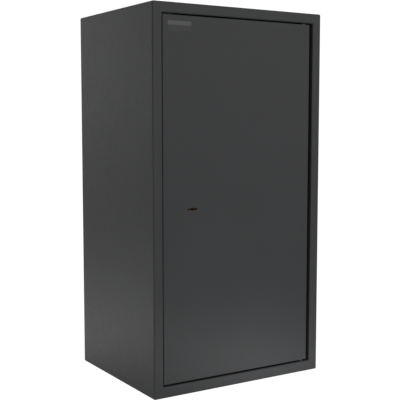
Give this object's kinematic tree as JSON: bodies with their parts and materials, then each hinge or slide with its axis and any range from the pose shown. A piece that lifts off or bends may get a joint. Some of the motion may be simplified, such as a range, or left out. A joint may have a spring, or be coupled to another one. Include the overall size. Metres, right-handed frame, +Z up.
{
  "type": "key-locked steel cabinet safe",
  "caption": "Upright graphite-grey steel safe with an inset door, a double-bitted keyhole, sliding round bolts, a lever lock and two inner shelves.",
  "frame": {"origin": "middle of the base, on the floor", "axes": "+Z up, -Y out of the door, +X towards the hinges (the viewer's right when facing the door)"},
  "size_m": [0.424, 0.34, 0.8],
  "materials": {
    "body_paint": "satin graphite-grey powder coat",
    "door_paint": "satin graphite-grey powder coat",
    "inner_paint": "satin graphite-grey powder coat on welded inner parts",
    "badge": "satin mid-grey plate, blank",
    "zinc": "bright zinc plate",
    "ground_steel": "ground and polished steel",
    "hinge_steel": "turned steel, lightly oiled",
    "cover_paint": "satin graphite-grey powder coat",
    "black_screw": "black oxide",
    "lock_case": "grey cast, machined lid",
    "brass": "stamped brass",
    "spring": "spring wire",
    "felt": "needle felt",
    "rubber": "matt black rubber",
    "shelf_paint": "satin graphite-grey powder coat"
  },
  "bodies": {
    "cabinet": {"body_shell": "body_paint", "front_frame": "body_paint", "back_panel": "body_paint", "strike_bar": "inner_paint", "hinge_plate_top": "inner_paint", "hinge_plate_bottom": "inner_paint", "hinge_pin_top": "hinge_steel", "hinge_pin_bottom": "hinge_steel", "thrust_washer": "hinge_steel", "door_stop_top": "inner_paint", "door_stop_bottom": "inner_paint", "door_bumpers": "rubber", "shelf_upper": "shelf_paint", "shelf_lower": "shelf_paint", "shelf_rail_upper_left": "shelf_paint", "shelf_rail_upper_right": "shelf_paint", "shelf_rail_lower_left": "shelf_paint", "shelf_rail_lower_right": "shelf_paint", "shelf_screws": "black_screw", "floor_mat": "felt"},
    "door": {"door_plate": "door_paint", "badge_plate": "badge", "hinge_knuckle_top": "inner_paint", "hinge_knuckle_bottom": "inner_paint", "hook_rail": "inner_paint", "bolt_guide_rail": "inner_paint", "boltwork_cover": "cover_paint", "cover_posts": "zinc", "cover_screws": "black_screw", "spigot_guide_upper": "zinc", "spigot_guide_lower": "zinc", "lock_case": "lock_case", "lock_cover": "lock_case", "lock_screws": "zinc", "lever_pivot_pin": "ground_steel", "lever_springs": "spring"},
    "boltwork": {"bolt_bar": "zinc", "locking_bolt_upper": "ground_steel", "locking_bolt_middle": "ground_steel", "locking_bolt_lower": "ground_steel", "bolt_nuts": "zinc", "lock_bolt": "zinc", "tail_rivets": "zinc"},
    "key_barrel": {"key_barrel": "brass"},
    "lever_1": {"lever_1": "brass"},
    "lever_2": {"lever_2": "brass"},
    "lever_3": {"lever_3": "brass"},
    "lever_4": {"lever_4": "brass"},
    "lever_5": {"lever_5": "brass"}
  },
  "joints": [
    {"name": "door_hinge", "type": "hinge", "parent": "cabinet", "child": "door", "pos_m": [0.1725, -0.159, 0.4], "axis": [0, 0, 1], "range_deg": [0, 100]},
    {"name": "bolt_throw", "type": "slide", "parent": "door", "child": "boltwork", "axis": [-1, 0, 0], "range_m": [0, 0.02]},
    {"name": "key_barrel_turn", "type": "hinge", "parent": "door", "child": "key_barrel", "pos_m": [-0.1205, -0.155, 0.386], "axis": [0, 1, 0], "range_deg": [0, 180]},
    {"name": "lever_1_lift", "type": "hinge", "parent": "door", "child": "lever_1", "pos_m": [-0.07, -0.15, 0.404], "axis": [0, 1, 0], "range_deg": [0, 3], "stiffness_Nm_per_rad": 0.05, "springref_deg": -17.19},
    {"name": "lever_2_lift", "type": "hinge", "parent": "door", "child": "lever_2", "pos_m": [-0.07, -0.15, 0.404], "axis": [0, 1, 0], "range_deg": [0, 3], "stiffness_Nm_per_rad": 0.05, "springref_deg": -17.19},
    {"name": "lever_3_lift", "type": "hinge", "parent": "door", "child": "lever_3", "pos_m": [-0.07, -0.15, 0.404], "axis": [0, 1, 0], "range_deg": [0, 3], "stiffness_Nm_per_rad": 0.05, "springref_deg": -17.19},
    {"name": "lever_4_lift", "type": "hinge", "parent": "door", "child": "lever_4", "pos_m": [-0.07, -0.15, 0.404], "axis": [0, 1, 0], "range_deg": [0, 3], "stiffness_Nm_per_rad": 0.05, "springref_deg": -17.19},
    {"name": "lever_5_lift", "type": "hinge", "parent": "door", "child": "lever_5", "pos_m": [-0.07, -0.15, 0.404], "axis": [0, 1, 0], "range_deg": [0, 3], "stiffness_Nm_per_rad": 0.05, "springref_deg": -17.19}
  ],
  "couplings": [
    {"joint": "key_barrel_turn", "follows": "bolt_throw", "rad_per_m": 157.06}
  ]
}
